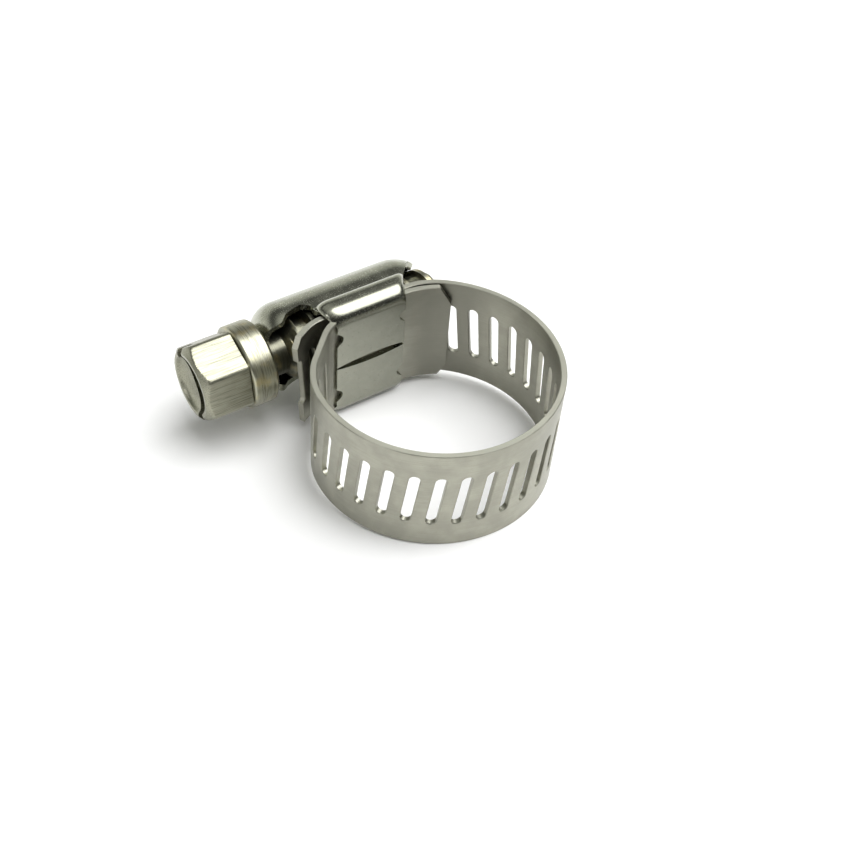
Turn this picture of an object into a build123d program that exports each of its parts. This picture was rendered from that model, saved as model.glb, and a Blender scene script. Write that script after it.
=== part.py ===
"""Worm-drive hose clamp with a 12.7 mm slotted band and a 5/16 in slotted hex screw.

Millimetres, +Z up along the bore. The origin is on the bore axis at the band's lower edge.
The screw lies along X beyond the ring on the +Y side, with its hex head towards -X.
The band is one strip. It is cut here into four stretches, because it bends as it tightens:
band_fixed_end, band_loop, band_entry and band_free_end, in order from the inner tongue.
"""

from build123d import *
import math
import os

# Band
BAND_WIDTH = 12.7
BAND_THICK = 0.64
RING_RADIUS = 13.0
HALF_THICK = BAND_THICK / 2
RING_MID = RING_RADIUS - HALF_THICK

# Slots across the band, and the worm that runs in them
SLOT_PITCH = 2.5
SLOT_WIDTH = 1.1
SLOT_LENGTH = 6.6
SLOT_SLANT = 6.5
FIRST_SLOT_X = 1.9

# Stack through the housing, from the bore outwards
LEG_INNER_Y = 9.8
SHEET = 0.7
LAYER_GAP = 0.04
FIXED_MID_Y = LEG_INNER_Y + SHEET + HALF_THICK
FREE_MID_Y = FIXED_MID_Y + BAND_THICK + LAYER_GAP

# How the two layers leave the housing and join the ring
TONGUE_FLAT_X = 2.4
TONGUE_RADIUS = 9.2
TONGUE_TURN = 37.5
RAMP_SLOPE = 45.0
RAMP_BEND_RADIUS = 5.7
HEAD_SIDE_RADIUS = 8.7
HEAD_SIDE_ANGLE = 172.0
ENTRY_RADIUS = 6.7
TAIL_FLAT_X = -6.6
TAIL_RADIUS = 4.7
TAIL_TURN = 30.0
TAIL_TIP_SLOT = 5
LOOP_START_ANGLE = 232.0

# Screw
AXIS_Y = 15.35
AXIS_Z = BAND_WIDTH / 2
THREAD_CREST = 4.16
THREAD_ROOT = 3.2
CREST_WIDTH = 0.52
FLANK = 15.0
THREAD_START_X = -8.7
THREAD_SUNK = 0.3
FULL_TURNS = 4.5
PILOT_X = 3.6
PILOT_CREST = 3.2
PILOT_ROOT = 2.6
SCREW_TIP_X = 10.3
NECK_RADIUS = 2.4
COLLAR_RADIUS = 4.57
COLLAR_X = (-14.85, -11.95)
HEX_FLATS = 7.94
HEX_END_X = -20.1
HEX_TURN = 20.0
HEX_CORNER_RADIUS = 4.45
DISH_RADIUS = 3.1
DISH_DEPTH = 0.5
DRIVE_SLOT_WIDTH = 1.25
DRIVE_SLOT_DEPTH = 1.6
DRIVE_SLOT_TURN = 144.0

# Housing
DOME_RADIUS = 5.25
BODY_X = (-5.5, 3.5)
NOSE_X = -11.7
NOSE_CURVE = 3.0
DOME_END_X = 8.8
DOME_END_CURVE = 5.0
DOME_STRAIGHT_END = 5.2
TIP_HOLE_RADIUS = 3.5
NOSE_DROP = 0.75
SCALLOP_RISE = 0.15
NECK_CLEARANCE = 0.2
FOLD_INNER_Z = BAND_WIDTH + 0.3
FOLD_RADIUS = 0.5
FOLD_LEAN = 0.25  # the folds are widest beside the shoulders, narrower beside the legs
SHOULDER_RADIUS = 0.75
VALLEY_RADIUS = 0.9
DOME_SIDE_DROP = 1.6
SHOULDER_RUN = 0.5
SEAM_GAP = 0.25
SEAM_BOW = 0.35
NOTCH_RADIUS = 0.6
NOTCH_Z_FROM_MIDDLE = 4.0


def heading(angle):
    """Unit vector in the XY plane at an angle in degrees."""
    return Vector(math.cos(math.radians(angle)), math.sin(math.radians(angle)), 0)


class Path:
    """Middle line of the strip, seen along the bore: straight runs and left-hand arcs."""

    def __init__(self, start, angle):
        self.at = start
        self.angle = angle
        self.moves = []
        self.length = 0.0

    def line(self, length):
        """Runs straight on."""
        self.moves.append(("line", self.length, length, self.at, self.angle, 0.0))
        self.at = self.at + heading(self.angle) * length
        self.length += length
        return self

    def arc(self, radius, turn):
        """Turns left by an angle in degrees."""
        length = radius * math.radians(turn)
        self.moves.append(("arc", self.length, length, self.at, self.angle, radius))
        centre = self.at + heading(self.angle + 90) * radius
        self.angle += turn
        self.at = centre + heading(self.angle - 90) * radius
        self.length += length
        return self

    def place(self, distance):
        """Point and direction at a distance along the path."""
        for kind, start, length, at, angle, radius in self.moves:
            if distance <= start + length + 1e-9:
                run = distance - start
                if kind == "line":
                    return at + heading(angle) * run, angle
                turned = angle + math.degrees(run / radius)
                centre = at + heading(angle + 90) * radius
                return centre + heading(turned - 90) * radius, turned
        raise ValueError("past the end of the band")

    def side(self, start, end, shift):
        """Edges of the line that lies a little to the right of the path, between two distances."""
        edges = []
        for kind, begins, length, at, angle, radius in self.moves:
            low, high = max(start, begins), min(end, begins + length)
            if high - low < 1e-6:
                continue
            points = []
            for run in (low - begins, (low + high) / 2 - begins, high - begins):
                if kind == "line":
                    points.append(at + heading(angle) * run + heading(angle - 90) * shift)
                else:
                    centre = at + heading(angle + 90) * radius
                    spoke = heading(angle + math.degrees(run / radius) - 90)
                    points.append(centre + spoke * (radius + shift))
            edges.append(Line(points[0], points[2]) if kind == "line" else ThreePointArc(*points))
        return edges

    def strip(self, start, end, below=-HALF_THICK, above=HALF_THICK):
        """Solid strip of the band's width between two distances, from one shift to another."""
        outer = self.side(start, end, above)
        inner = self.side(start, end, below)
        caps = [
            Line(outer[0] @ 0, inner[0] @ 0),
            Line(outer[-1] @ 1, inner[-1] @ 1),
        ]
        outline = Wire(Wire.combine(outer + caps + inner)[0].edges())
        return extrude(Face(outline), BAND_WIDTH)


def band_path():
    """Whole band from the tongue's tip round the ring to the tail, and where its stretches meet."""
    centre = heading(HEAD_SIDE_ANGLE) * (RING_MID - HEAD_SIDE_RADIUS)
    ramp_foot = centre + heading(90 + RAMP_SLOPE) * HEAD_SIDE_RADIUS
    ramp_top_y = FIXED_MID_Y - RAMP_BEND_RADIUS * (1 - math.cos(math.radians(RAMP_SLOPE)))
    rise = ramp_top_y - ramp_foot.Y
    ramp = rise / math.sin(math.radians(RAMP_SLOPE))
    ramp_top_x = ramp_foot.X + rise / math.tan(math.radians(RAMP_SLOPE))
    flat_end_x = ramp_top_x + RAMP_BEND_RADIUS * math.sin(math.radians(RAMP_SLOPE))
    entry_sine = (FREE_MID_Y - ENTRY_RADIUS) / (RING_MID - ENTRY_RADIUS)
    entry_angle = math.degrees(math.asin(entry_sine))
    entry_x = (RING_MID - ENTRY_RADIUS) * math.cos(math.radians(entry_angle))

    tip = Vector(TONGUE_FLAT_X, FIXED_MID_Y - TONGUE_RADIUS, 0)
    tip = tip + heading(90 - TONGUE_TURN) * TONGUE_RADIUS
    path = Path(tip, 180 - TONGUE_TURN)
    path.arc(TONGUE_RADIUS, TONGUE_TURN)
    path.line(TONGUE_FLAT_X - flat_end_x)
    path.arc(RAMP_BEND_RADIUS, RAMP_SLOPE)
    path.line(ramp)
    path.arc(HEAD_SIDE_RADIUS, HEAD_SIDE_ANGLE + 90 - 180 - RAMP_SLOPE)
    path.arc(RING_MID, LOOP_START_ANGLE - HEAD_SIDE_ANGLE)
    stops = {"loop": path.length}
    path.arc(RING_MID, 360 + entry_angle - LOOP_START_ANGLE)
    stops["entry"] = path.length
    path.arc(ENTRY_RADIUS, 90 - entry_angle)
    stops["free"] = path.length
    stops["first_slot"] = path.length + entry_x - FIRST_SLOT_X
    path.line(entry_x - TAIL_FLAT_X)
    path.arc(TAIL_RADIUS, TAIL_TURN)
    tail_end = stops["first_slot"] + SLOT_PITCH * TAIL_TIP_SLOT
    stops["end"] = tail_end + 1.2
    path.line(stops["end"] - path.length)
    return path, stops


def slot_cutter(path, distance):
    """Round-ended prism for one slot, leaning with the worm's lead."""
    point, angle = path.place(distance)
    middle = Vector(point.X, point.Y, BAND_WIDTH / 2)
    plane = Plane(origin=middle, x_dir=heading(angle), z_dir=heading(angle - 90))
    shape = plane * Rot(0, 0, 90 - SLOT_SLANT) * SlotOverall(SLOT_LENGTH, SLOT_WIDTH)
    return extrude(shape, 1.5, both=True)


def slot_distances(path, stops, start, end):
    """Places of the slots that lie wholly or partly between two distances."""
    count = int((stops["first_slot"] - start) / SLOT_PITCH) + 1
    places = [stops["first_slot"] - SLOT_PITCH * step for step in range(-TAIL_TIP_SLOT, count)]
    return [place for place in places if start - SLOT_WIDTH < place < end + SLOT_WIDTH]


def corner_block(path, distance, z_edge, lean):
    """Wedge that clips one corner of a strip's end; lean is +1 towards the end, -1 to the start."""
    point, angle = path.place(distance)
    plane = Plane(origin=Vector(point.X, point.Y, z_edge), x_dir=heading(angle), z_dir=heading(angle - 90))
    inward = -1 if z_edge > 1 else 1
    outline = Polyline((-1.3 * lean, 0), (2 * lean, 3.3 * 1.6 * inward), (2 * lean, -inward), close=False)
    wedge = make_face(outline + Line(outline @ 1, outline @ 0))
    return extrude(plane * wedge, 1.5, both=True)


def band_pieces():
    """The band's four stretches as name to solid."""
    path, stops = band_path()
    spans = {
        "band_fixed_end": (0.0, stops["loop"]),
        "band_loop": (stops["loop"], stops["entry"]),
        "band_entry": (stops["entry"], stops["free"]),
        "band_free_end": (stops["free"], stops["end"]),
    }
    pieces = {}
    for name, (start, end) in spans.items():
        solid = path.strip(start, end)
        first = start if name != "band_fixed_end" else 19.5
        for distance in slot_distances(path, stops, first, end):
            solid = solid - slot_cutter(path, distance)
        pieces[name] = solid
    for z_edge in (0.0, BAND_WIDTH):
        pieces["band_fixed_end"] -= corner_block(path, 0.0, z_edge, -1)
    pieces["band_free_end"] -= tail_trim(path, stops)
    return pieces


def tail_trim(path, stops):
    """Everything past the sheared end, which runs along the middle of the last slot."""
    last = stops["first_slot"] + SLOT_PITCH * TAIL_TIP_SLOT
    point, angle = path.place(last)
    middle = Vector(point.X, point.Y, BAND_WIDTH / 2)
    plane = Plane(origin=middle, x_dir=heading(angle), z_dir=heading(angle - 90))
    beyond = plane * Rot(0, 0, -SLOT_SLANT) * Pos(3, 0, 0) * Box(6, 2 * BAND_WIDTH, 3)
    clip = corner_block(path, last - 0.1, BAND_WIDTH, 1)
    return beyond + clip


def band_ring_check():
    """Prints the middle line's length, for the report."""
    path, stops = band_path()
    print("band length", round(stops["first_slot"] + SLOT_PITCH * TAIL_TIP_SLOT, 2))


def on_axis(shape):
    """Moves a shape made about the Z axis onto the screw's axis, its +Z towards the tip."""
    return Pos(0, AXIS_Y, AXIS_Z) * Rot(0, 90, 0) * shape


def turned(points):
    """Solid of revolution about Z from (height, radius) points, closed along the axis."""
    outline = Polyline(*[(radius, 0, height) for height, radius in points], close=True)
    return revolve(make_face(outline), Axis.Z)


def ridge(crest, root, start, turns, turn=0.0):
    """Right-hand ridge of trapezoid section that starts at a height and an angle."""
    root -= THREAD_SUNK
    slope = math.tan(math.radians(FLANK))
    crest_half = CREST_WIDTH / 2
    root_half = crest_half + (crest - root) * slope
    outline = Polyline(
        (0, -root_half),
        (crest - root, -crest_half),
        (crest - root, crest_half),
        (0, root_half),
        close=True,
    )
    section = Plane(origin=(root, 0, 0), x_dir=(1, 0, 0), z_dir=(0, 1, 0)) * make_face(outline)
    helix = Helix(SLOT_PITCH, SLOT_PITCH * turns, root)
    return Pos(0, 0, start) * Rot(0, 0, turn) * sweep(section, path=helix, is_frenet=True)


def worm_screw():
    """Slotted hex head, collar, neck and worm, cold-formed in one piece."""
    core = turned(
        [
            (COLLAR_X[0], 0),
            (COLLAR_X[0], COLLAR_RADIUS - 0.25),
            (COLLAR_X[0] + 0.2, COLLAR_RADIUS),
            (COLLAR_X[1] - 0.3, COLLAR_RADIUS),
            (COLLAR_X[1], COLLAR_RADIUS - 0.35),
            (COLLAR_X[1], NECK_RADIUS),
            (THREAD_START_X - 0.9, NECK_RADIUS),
            (THREAD_START_X, THREAD_ROOT),
            (PILOT_X, THREAD_ROOT),
            (PILOT_X + 0.5, PILOT_ROOT),
            (SCREW_TIP_X - 1.0, PILOT_ROOT),
            (SCREW_TIP_X, PILOT_ROOT - 0.9),
            (SCREW_TIP_X, 0),
        ]
    )
    first = FIRST_SLOT_X - SLOT_PITCH * 4
    worm = core + ridge(THREAD_CREST, THREAD_ROOT, first, FULL_TURNS, 270)
    pilot = first + SLOT_PITCH * FULL_TURNS
    turns = (SCREW_TIP_X - 0.6 - pilot) / SLOT_PITCH
    worm = worm + ridge(PILOT_CREST, PILOT_ROOT, pilot, turns, 270 + 360 * FULL_TURNS)
    return on_axis(worm + hex_head())


def hex_head():
    """Hexagon with rounded corners, a chamfered and dished end, and a screwdriver slot."""
    height = COLLAR_X[0] - HEX_END_X + 0.5
    flats = RegularPolygon(HEX_FLATS / 2, 6, major_radius=False)
    head = extrude(Pos(0, 0, HEX_END_X) * Rot(0, 0, 30 + HEX_TURN) * flats, height)
    head = head & turned(
        [
            (HEX_END_X, 0),
            (HEX_END_X, DISH_RADIUS + 0.45),
            (HEX_END_X + 0.45, HEX_CORNER_RADIUS),
            (HEX_END_X + height, HEX_CORNER_RADIUS),
            (HEX_END_X + height, 0),
        ]
    )
    ball = (DISH_RADIUS**2 + DISH_DEPTH**2) / (2 * DISH_DEPTH)
    head -= Pos(0, 0, HEX_END_X + DISH_DEPTH - ball) * Sphere(ball)
    slot = Box(12, DRIVE_SLOT_WIDTH, DRIVE_SLOT_DEPTH * 2)
    return head - Pos(0, 0, HEX_END_X) * Rot(0, 0, DRIVE_SLOT_TURN) * slot


def ribbon(points, radii, thickness):
    """Face of a bent sheet about a middle line of (y, z) points, with rounded corners."""
    line = [Vector(*point) for point in points]
    sides = []
    for shift in (thickness / 2, -thickness / 2):
        spots, rounds = [], []
        for index, point in enumerate(line):
            back = line[max(index, 1)] - line[max(index, 1) - 1]
            ahead = line[min(index, len(line) - 2) + 1] - line[min(index, len(line) - 2)]
            back, ahead = back.normalized(), ahead.normalized()
            left = Vector(-ahead.Y, ahead.X)
            mitre = (left + Vector(-back.Y, back.X)).normalized()
            spots.append(point + mitre * (shift / mitre.dot(left)))
            if 0 < index < len(line) - 1:
                turns_left = back.X * ahead.Y > back.Y * ahead.X
                rounds.append(radii[index - 1] - (shift if turns_left else -shift))
        sides.append(FilletPolyline(*spots, radius=rounds))
    caps = [Line(sides[0] @ end, sides[1] @ end) for end in (0, 1)]
    edges = list(sides[0].edges()) + caps + list(sides[1].edges())
    return make_face(edges)


def shoulder_section():
    """Section of one shoulder: from the dome's side round the band's edge to the seam."""
    dome_mid = DOME_RADIUS - SHEET / 2
    leg_y = LEG_INNER_Y + SHEET / 2
    fold_z = FOLD_INNER_Z + SHEET / 2
    side = [
        (AXIS_Y, AXIS_Z + dome_mid),
        (AXIS_Y - DOME_SIDE_DROP, AXIS_Z + dome_mid),
        (AXIS_Y - DOME_SIDE_DROP - SHOULDER_RUN, fold_z + FOLD_LEAN / 4),
        (leg_y, fold_z - FOLD_LEAN * 3 / 4),
        (leg_y, AXIS_Z + SEAM_GAP / 2),
    ]
    return ribbon(side, [VALLEY_RADIUS, SHOULDER_RADIUS, FOLD_RADIUS + SHEET / 2], SHEET)


def housing():
    """Stamped housing: cover over the worm, folds round the band's edges, legs under the band."""
    length = BODY_X[1] - BODY_X[0]
    across = Plane(origin=(BODY_X[0], 0, 0), x_dir=(0, 1, 0), z_dir=(1, 0, 0))
    shoulder = extrude(across * shoulder_section(), length)
    shoulders = shoulder + mirror(shoulder, about=Plane.XY.offset(AXIS_Z))
    middle_x = sum(BODY_X) / 2
    along_y = Plane(origin=(middle_x, LEG_INNER_Y, AXIS_Z), x_dir=(1, 0, 0), z_dir=(0, 1, 0))
    gap = Ellipse(length / 2, SEAM_BOW)
    shoulders -= extrude(along_y * gap, SHEET * 2, both=True)
    for end in BODY_X:
        for side in (-NOTCH_Z_FROM_MIDDLE, NOTCH_Z_FROM_MIDDLE):
            notch = Pos(end, LEG_INNER_Y, AXIS_Z + side) * Rot(90, 0, 0) * Cylinder(NOTCH_RADIUS, 3)
            shoulders -= notch
    path, _ = band_path()
    room = path.strip(0.0, TONGUE_RADIUS * 2.0, -HALF_THICK - 0.03, 0.0)
    return (shoulders - room) + cover()


def cover():
    """Half-round cover over the worm, rounded in at both ends and scalloped over the band."""
    shell = on_axis(cover_solid(0.0) - cover_solid(SHEET))
    bores = Pos(0, 0, NOSE_X) * Cylinder(NECK_RADIUS + NECK_CLEARANCE, 4)
    bores += Pos(0, 0, DOME_END_X) * Cylinder(TIP_HOLE_RADIUS, 4)
    shell -= on_axis(bores)
    low, high = AXIS_Y - DOME_RADIUS - 1, AXIS_Y + SCALLOP_RISE
    lip = AXIS_Y - NOSE_DROP
    away = Polyline(
        (NOSE_X - 1, low),
        (NOSE_X - 1, AXIS_Y),
        (NOSE_X + 0.9, AXIS_Y - NOSE_DROP * 0.4),
        (NOSE_X + 2.0, lip),
        (NOSE_X + 2.5, lip),
        (NOSE_X + 3.5, high - 0.4),
        (BODY_X[0] - 1.2, high),
        (BODY_X[0], high - 0.8),
        (BODY_X[0], AXIS_Y - 1.0),
        (BODY_X[1], AXIS_Y - 1.0),
        (BODY_X[1] + 1.5, AXIS_Y - 1.0),
        (BODY_X[1] + 3.0, AXIS_Y),
        (DOME_END_X + 1, AXIS_Y + 1.5),
        (DOME_END_X + 1, low),
        close=True,
    )
    return shell - extrude(make_face(away), 2 * BAND_WIDTH, both=True)


def cover_solid(inset):
    """Solid of revolution inside the cover's outer face, moved in by an inset."""
    radius = DOME_RADIUS - inset
    nose_middle = NOSE_X + NOSE_CURVE
    nose_curve = NOSE_CURVE - inset
    hub = DOME_RADIUS - NOSE_CURVE
    end_curve = DOME_END_CURVE - inset
    end_hub = DOME_RADIUS - DOME_END_CURVE
    reach = DOME_END_X - DOME_STRAIGHT_END
    end_angle = math.asin(reach / end_curve)
    half = math.sqrt(0.5)
    points = [
        (0, nose_middle - nose_curve),
        (hub, nose_middle - nose_curve),
        (hub + nose_curve * half, nose_middle - nose_curve * half),
        (radius, nose_middle),
        (radius, DOME_STRAIGHT_END),
        (
            end_hub + end_curve * math.cos(end_angle / 2),
            DOME_STRAIGHT_END + end_curve * math.sin(end_angle / 2),
        ),
        (end_hub + end_curve * math.cos(end_angle), DOME_END_X),
        (0, DOME_END_X),
    ]
    spots = [Vector(across, 0, along) for across, along in points]
    outline = [
        Line(spots[0], spots[1]),
        ThreePointArc(spots[1], spots[2], spots[3]),
        Line(spots[3], spots[4]),
        ThreePointArc(spots[4], spots[5], spots[6]),
        Line(spots[6], spots[7]),
        Line(spots[7], spots[0]),
    ]
    return revolve(make_face(outline), Axis.Z)


if __name__ == "__main__":
    os.makedirs("parts", exist_ok=True)
    parts = band_pieces()
    parts["worm_screw"] = worm_screw()
    parts["housing"] = housing()
    for node, shape in parts.items():
        export_step(shape, f"parts/{node}.step")
        print(node, "volume", round(shape.volume, 2))
    band_ring_check()
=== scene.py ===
"""Looks of a worm drive hose clamp: slotted band, stamped housing and slotted hex worm screw.

Metres, in the frame of the CAD model: +Z along the hose bore, the screw along X on the ring's +Y
side, its hex head towards -X. Lengths in this file are millimetres until a mesh is finished.
"""

import math

import bmesh
import bpy
from bpy.props import FloatProperty, FloatVectorProperty, PointerProperty
from mathutils import Matrix, Vector


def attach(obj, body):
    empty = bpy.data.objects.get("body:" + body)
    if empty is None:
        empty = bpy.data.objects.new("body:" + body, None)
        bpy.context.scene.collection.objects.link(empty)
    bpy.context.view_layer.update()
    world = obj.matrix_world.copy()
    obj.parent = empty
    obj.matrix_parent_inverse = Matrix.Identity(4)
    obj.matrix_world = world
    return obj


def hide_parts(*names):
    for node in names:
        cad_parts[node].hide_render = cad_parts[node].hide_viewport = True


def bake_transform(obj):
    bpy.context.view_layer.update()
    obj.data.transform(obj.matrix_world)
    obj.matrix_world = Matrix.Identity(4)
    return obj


bl_info = {
    "name": "Worm drive hose clamp",
    "version": (1, 0, 0),
    "blender": (4, 5, 0),
    "location": "3D View > Sidebar > Hose clamp",
    "description": "Builds the band, housing, worm screw and stage of a small hose clamp",
    "category": "Object",
}

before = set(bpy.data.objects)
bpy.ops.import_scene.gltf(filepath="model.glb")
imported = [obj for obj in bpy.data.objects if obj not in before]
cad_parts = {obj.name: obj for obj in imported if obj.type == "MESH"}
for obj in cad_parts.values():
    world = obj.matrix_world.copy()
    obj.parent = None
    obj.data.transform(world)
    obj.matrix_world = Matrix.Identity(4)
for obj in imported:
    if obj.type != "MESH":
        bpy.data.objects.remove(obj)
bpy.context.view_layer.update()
MM = 0.001

# The screw's axis, and the stack of sheets between it and the bore, as in the CAD model
AXIS_Y = 15.35
AXIS_Z = 6.35
LEG_Y = 9.8
SHEET = 0.7
FIXED_MID_Y = LEG_Y + SHEET + 0.32
FREE_MID_Y = FIXED_MID_Y + 0.68
FIRST_SLOT_X = 1.9
TAIL_SLOT = 5
FIXED_SLOTS = 4
TONGUE_STEPS = 90


# ---------------------------------------------------------------- settings


class BandSettings(bpy.types.PropertyGroup):
    """Sizes and colour of the slotted band."""

    width: FloatProperty(name="Width", description="Width of the strip", default=0.0127, unit="LENGTH")
    thickness: FloatProperty(
        name="Thickness", description="Thickness of the strip", default=0.00064, unit="LENGTH"
    )
    ring_radius: FloatProperty(
        name="Ring radius", description="Outer radius of the closed ring", default=0.013, unit="LENGTH"
    )
    pitch: FloatProperty(
        name="Slot spacing", description="Distance from slot to slot", default=0.0025, unit="LENGTH"
    )
    slot_width: FloatProperty(
        name="Slot width", description="Width of one slot", default=0.0011, unit="LENGTH"
    )
    slot_length: FloatProperty(
        name="Slot length", description="Length of one slot, end to end", default=0.0066, unit="LENGTH"
    )
    slant: FloatProperty(
        name="Slant",
        description="Lean of the slots",
        default=math.radians(6.5),
        subtype="ANGLE",
    )
    colour: FloatVectorProperty(
        name="Colour",
        description="Satin steel of the strip",
        subtype="COLOR",
        size=3,
        default=(0.37, 0.365, 0.305),
    )


class HousingSettings(bpy.types.PropertyGroup):
    """Sizes and colour of the stamped housing."""

    dome_radius: FloatProperty(
        name="Cover radius", description="Outer radius over the worm", default=0.00525, unit="LENGTH"
    )
    fold_radius: FloatProperty(
        name="Fold radius", description="Outer radius round the band's edge", default=0.0017, unit="LENGTH"
    )
    seam_bow: FloatProperty(
        name="Seam bow", description="How far the legs' seam opens", default=0.00033, unit="LENGTH"
    )
    colour: FloatVectorProperty(
        name="Colour",
        description="Polished steel of the stamping",
        subtype="COLOR",
        size=3,
        default=(0.43, 0.435, 0.36),
    )


class ScrewSettings(bpy.types.PropertyGroup):
    """Sizes and colour of the worm screw."""

    hex_flats: FloatProperty(
        name="Across flats", description="Wrench size of the hex head", default=0.00794, unit="LENGTH"
    )
    collar_radius: FloatProperty(
        name="Collar radius", description="Radius of the collar", default=0.00457, unit="LENGTH"
    )
    crest_radius: FloatProperty(
        name="Crest radius", description="Outer radius of the worm", default=0.00416, unit="LENGTH"
    )
    root_radius: FloatProperty(
        name="Root radius", description="Core radius of the worm", default=0.0032, unit="LENGTH"
    )
    drive_slot_width: FloatProperty(
        name="Drive slot width", description="Screwdriver slot", default=0.00125, unit="LENGTH"
    )
    colour: FloatVectorProperty(
        name="Colour",
        description="Turned steel of the screw",
        subtype="COLOR",
        size=3,
        default=(0.43, 0.425, 0.33),
    )


class StageSettings(bpy.types.PropertyGroup):
    """Floor and light."""

    floor_colour: FloatVectorProperty(
        name="Floor", description="Colour of the floor", subtype="COLOR", size=3, default=(0.93, 0.93, 0.94)
    )
    key_power: FloatProperty(
        name="Key light", description="Strength of the broad main light", default=3.6
    )


# ---------------------------------------------------------------- shader maths


class Sock:
    """A shader socket or number on which Python's operators add Math nodes."""

    def __init__(self, shade, socket):
        self.shade, self.socket = shade, socket

    def math(self, operation, *values, clamp=False):
        node = self.shade.node(
            "ShaderNodeMath", {"operation": operation, "use_clamp": clamp}, *values
        )
        return Sock(self.shade, node.outputs[0])

    def __add__(self, other):
        return self.math("ADD", self, other)

    __radd__ = __add__

    def __mul__(self, other):
        return self.math("MULTIPLY", self, other)

    __rmul__ = __mul__

    def __sub__(self, other):
        return self.math("SUBTRACT", self, other)

    def __rsub__(self, other):
        return self.math("SUBTRACT", other, self)

    def __truediv__(self, other):
        return self.math("DIVIDE", self, other)

    def above(self, low, high):
        """0 below low, 1 above high, smooth between."""
        node = self.shade.node(
            "ShaderNodeMapRange", {"interpolation_type": "SMOOTHSTEP"}, self, low, high
        )
        return Sock(self.shade, node.outputs[0])

    def absolute(self):
        return self.math("ABSOLUTE", self)


class Shade:
    """One material's node tree."""

    def __init__(self, name):
        self.material = bpy.data.materials.new(name)
        self.material.use_nodes = True
        self.tree = self.material.node_tree
        self.bsdf = self.tree.nodes["Principled BSDF"]
        coordinates = self.tree.nodes.new("ShaderNodeTexCoord")
        self.point = Sock(self, coordinates.outputs["Object"])
        geometry = self.tree.nodes.new("ShaderNodeNewGeometry")
        self.normal = Sock(self, geometry.outputs["Normal"])

    def put(self, target, value):
        """Links a socket, or sets a number or colour."""
        if isinstance(value, Sock):
            self.tree.links.new(value.socket, target)
        else:
            target.default_value = value

    def node(self, kind, settings, *values, **named):
        """A node with its settings, then its sockets in order or by name."""
        node = self.tree.nodes.new(kind)
        for key, value in settings.items():
            setattr(node, key, value)
        for target, value in zip(node.inputs, values):
            if value is not None:
                self.put(target, value)
        for key, value in named.items():
            self.put(node.inputs[key.replace("_", " ")], value)
        return node

    def split(self, vector):
        """X, Y and Z of a vector."""
        node = self.node("ShaderNodeSeparateXYZ", {}, vector)
        return [Sock(self, output) for output in node.outputs]

    def stretched(self, x, y, z):
        """Object coordinates in millimetres, scaled along each axis."""
        node = self.node("ShaderNodeMapping", {}, self.point, Scale=(x / MM, y / MM, z / MM))
        return Sock(self, node.outputs[0])

    def noise(self, vector, scale=1.0, detail=2.0, roughness=0.5):
        """Noise from 0 to 1 at a scale per millimetre."""
        node = self.node(
            "ShaderNodeTexNoise", {}, Vector=vector, Scale=scale, Detail=detail, Roughness=roughness
        )
        return Sock(self, node.outputs["Fac"])

    def mix(self, factor, first, second):
        """Mix of two colours."""
        node = self.node("ShaderNodeMix", {"data_type": "RGBA"})
        self.put(node.inputs[0], factor)
        for target, value in ((node.inputs[6], first), (node.inputs[7], second)):
            self.put(target, value if isinstance(value, Sock) else (*value, 1.0))
        return Sock(self, node.outputs[2])

    def bump(self, height, strength, distance):
        """Normal from a height."""
        node = self.node("ShaderNodeBump", {}, Strength=strength, Distance=distance, Height=height)
        self.tree.links.new(node.outputs[0], self.bsdf.inputs["Normal"])

    def steel(self, colour, roughness):
        """Sets up the metal."""
        self.bsdf.inputs["Metallic"].default_value = 1.0
        self.put(self.bsdf.inputs["Base Color"], colour)
        self.put(self.bsdf.inputs["Roughness"], roughness)
        return self.material


def scaled(colour, factor):
    """A colour made lighter or darker."""
    return tuple(min(1.0, channel * factor) for channel in colour)


def band_steel(colour):
    """Rolled satin strip: lines along its length, cloudy patches, pale sheared edges, and painted shade on
    the inward faces at the ring's back right.
    """
    shade = Shade("band satin steel")
    lines = shade.noise(shade.stretched(0.35, 0.35, 14.0), 1.0, 3.0, 0.6)
    clouds = shade.noise(shade.stretched(1, 1, 1), 0.45, 3.0)
    specks = shade.noise(shade.stretched(1, 1, 1), 9.0, 1.0)
    up = shade.split(shade.normal)[2].absolute()
    edge = up.above(0.55, 0.9)
    tone = shade.mix(clouds.above(0.35, 0.7), scaled(colour, 0.9), scaled(colour, 1.1))
    tone = shade.mix(lines.above(0.3, 0.75) * 0.35, tone, scaled(colour, 0.72))
    tone = shade.mix(specks.above(0.68, 0.78) * 0.3, tone, (0.22, 0.18, 0.13))
    across, height, _ = shade.split(shade.stretched(1, 1, 1))
    # Painted shade: faces turned towards -Y on the ring's back right side, where the photo is dark, are
    # darkened
    inward = (0 - shade.split(shade.normal)[1]).above(0.2, 0.7)
    painted_inner_shade = across.above(2.0, 6.0) * height.above(3.0, 8.0) * inward
    tone = shade.mix(painted_inner_shade * 0.75, tone, scaled(colour, 0.5))
    tone = shade.mix(edge * 0.6, tone, (0.50, 0.50, 0.43))
    roughness = 0.30 + clouds * 0.10 + lines * 0.08 + edge * 0.08
    shade.bump(lines + specks * 0.3, 0.25, 0.02 * MM)
    return shade.steel(tone, roughness)


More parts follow.
